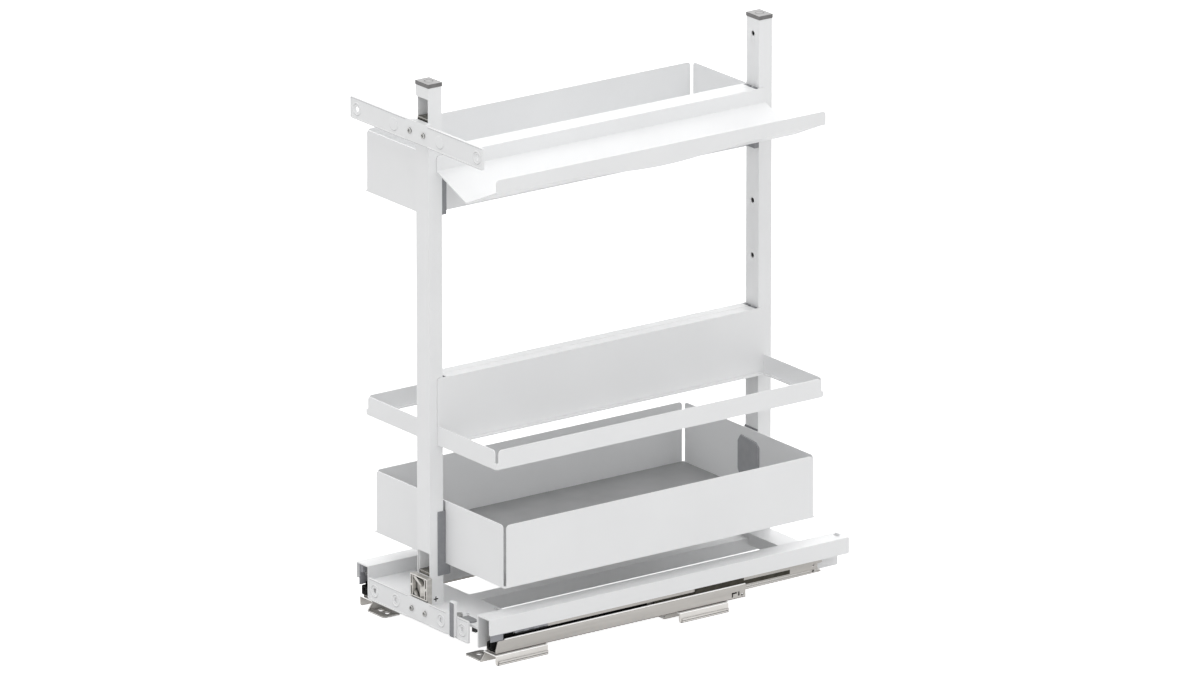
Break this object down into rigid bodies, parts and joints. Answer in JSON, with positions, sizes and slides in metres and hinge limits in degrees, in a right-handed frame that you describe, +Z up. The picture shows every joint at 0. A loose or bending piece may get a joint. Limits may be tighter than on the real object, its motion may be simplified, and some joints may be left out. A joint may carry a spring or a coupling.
{
  "type": "pull out larder unit",
  "caption": "White metal pull-out larder insert: posts on side runners carry an upper tray, a sloping shelf, open racks and a deep lower tray; brackets take the cabinet door.",
  "frame": {"origin": "middle of the footprint on the cabinet floor, below the middle of the width and depth", "axes": "+X to the right seen from the door side, +Y from the door side to the back, +Z up"},
  "size_m": [0.263, 0.5038, 0.6387],
  "materials": {
    "zinc": "zinc plated satin",
    "steel": "plated",
    "black_plastic": "moulded",
    "cage_plastic": "moulded",
    "grey_plastic": "moulded",
    "white_paint": "satin powder coat",
    "cast_zinc": "die cast zinc",
    "mat_grey": "anti slip mat"
  },
  "bodies": {
    "cabinet_side": {"foot_front_left": "zinc", "foot_front_right": "zinc", "foot_rear_left": "zinc", "foot_rear_right": "zinc", "foot_rivets": "steel", "cabinet_member_left": "zinc", "cabinet_member_right": "zinc"},
    "middle_left": {"middle_member_left": "zinc", "end_piece_left": "black_plastic"},
    "middle_right": {"middle_member_right": "zinc", "end_piece_right": "black_plastic"},
    "lower_cage_set_left": {"lower_cage_left": "cage_plastic", "lower_balls_left": "steel"},
    "lower_cage_set_right": {"lower_cage_right": "cage_plastic", "lower_balls_right": "steel"},
    "upper_cage_set_left": {"upper_cage_left": "cage_plastic", "upper_balls_left": "steel"},
    "upper_cage_set_right": {"upper_cage_right": "cage_plastic", "upper_balls_right": "steel"},
    "carriage": {"carriage_member_left": "zinc", "carriage_member_right": "zinc", "catch_strip_left": "grey_plastic", "catch_strip_right": "grey_plastic", "rail_left": "white_paint", "rail_right": "white_paint", "front_deck": "white_paint", "rear_deck": "white_paint", "centre_beam": "white_paint", "front_post": "white_paint", "rear_post": "white_paint", "post_caps": "grey_plastic", "upper_insert": "cast_zinc", "lower_insert": "cast_zinc", "rear_insert": "cast_zinc", "post_screws": "steel", "upper_adjuster": "white_paint", "lower_adjuster": "cast_zinc", "bracket_screws": "steel", "weld_nuts": "steel", "latch_block": "grey_plastic", "latch_collar": "steel", "latch_screw": "steel", "upper_clip_front": "grey_plastic", "upper_clip_rear": "grey_plastic", "middle_clip_front": "grey_plastic", "middle_clip_rear": "grey_plastic", "lower_clip_front": "grey_plastic", "lower_clip_rear": "grey_plastic"},
    "top_front_bracket": {"upper_bracket": "white_paint"},
    "low_front_bracket": {"lower_bracket": "white_paint"},
    "lever": {"lever_body": "white_paint", "lever_pad_piece": "grey_plastic", "lever_pin": "steel"},
    "upper_tray_unit": {"upper_tray": "white_paint"},
    "shelf_unit": {"sloping_shelf": "white_paint"},
    "rack_left_unit": {"rack_left": "white_paint"},
    "rack_right_unit": {"rack_right": "white_paint"},
    "lower_tray_unit": {"lower_tray": "white_paint", "tray_mat": "mat_grey", "tray_tab": "grey_plastic"}
  },
  "joints": [
    {"name": "pull_out", "type": "slide", "parent": "cabinet_side", "child": "carriage", "axis": [0, -1, 0], "range_m": [0, 0.45]},
    {"name": "middle_left_slide", "type": "slide", "parent": "cabinet_side", "child": "middle_left", "axis": [0, -1, 0], "range_m": [0, 0.225]},
    {"name": "lower_cage_left_slide", "type": "slide", "parent": "cabinet_side", "child": "lower_cage_set_left", "axis": [0, -1, 0], "range_m": [0, 0.1125]},
    {"name": "upper_cage_left_slide", "type": "slide", "parent": "cabinet_side", "child": "upper_cage_set_left", "axis": [0, -1, 0], "range_m": [0, 0.3375]},
    {"name": "middle_right_slide", "type": "slide", "parent": "cabinet_side", "child": "middle_right", "axis": [0, -1, 0], "range_m": [0, 0.225]},
    {"name": "lower_cage_right_slide", "type": "slide", "parent": "cabinet_side", "child": "lower_cage_set_right", "axis": [0, -1, 0], "range_m": [0, 0.1125]},
    {"name": "upper_cage_right_slide", "type": "slide", "parent": "cabinet_side", "child": "upper_cage_set_right", "axis": [0, -1, 0], "range_m": [0, 0.3375]},
    {"name": "top_bracket_side_adjust", "type": "slide", "parent": "carriage", "child": "top_front_bracket", "axis": [1, 0, 0], "range_m": [-0.001, 0.001]},
    {"name": "low_bracket_height_adjust", "type": "slide", "parent": "carriage", "child": "low_front_bracket", "axis": [0, 0, 1], "range_m": [-0.001, 0.001]},
    {"name": "lever_tip", "type": "hinge", "parent": "low_front_bracket", "child": "lever", "pos_m": [0.06975, -0.24925, 0.0222], "axis": [1, 0, 0], "range_deg": [0, 75]},
    {"name": "upper_tray_lift", "type": "slide", "parent": "carriage", "child": "upper_tray_unit", "axis": [0, 0, 1], "range_m": [0, 0.06]},
    {"name": "shelf_lift", "type": "slide", "parent": "carriage", "child": "shelf_unit", "axis": [0, 0, 1], "range_m": [0, 0.06]},
    {"name": "rack_left_lift", "type": "slide", "parent": "carriage", "child": "rack_left_unit", "axis": [0, 0, 1], "range_m": [0, 0.1]},
    {"name": "rack_right_lift", "type": "slide", "parent": "carriage", "child": "rack_right_unit", "axis": [0, 0, 1], "range_m": [0, 0.1]},
    {"name": "lower_tray_lift", "type": "slide", "parent": "carriage", "child": "lower_tray_unit", "axis": [0, 0, 1], "range_m": [0, 0.05]}
  ],
  "couplings": [
    {"joint": "middle_left_slide", "follows": "pull_out", "ratio": 0.5},
    {"joint": "lower_cage_left_slide", "follows": "pull_out", "ratio": 0.25},
    {"joint": "upper_cage_left_slide", "follows": "pull_out", "ratio": 0.75},
    {"joint": "middle_right_slide", "follows": "pull_out", "ratio": 0.5},
    {"joint": "lower_cage_right_slide", "follows": "pull_out", "ratio": 0.25},
    {"joint": "upper_cage_right_slide", "follows": "pull_out", "ratio": 0.75}
  ]
}
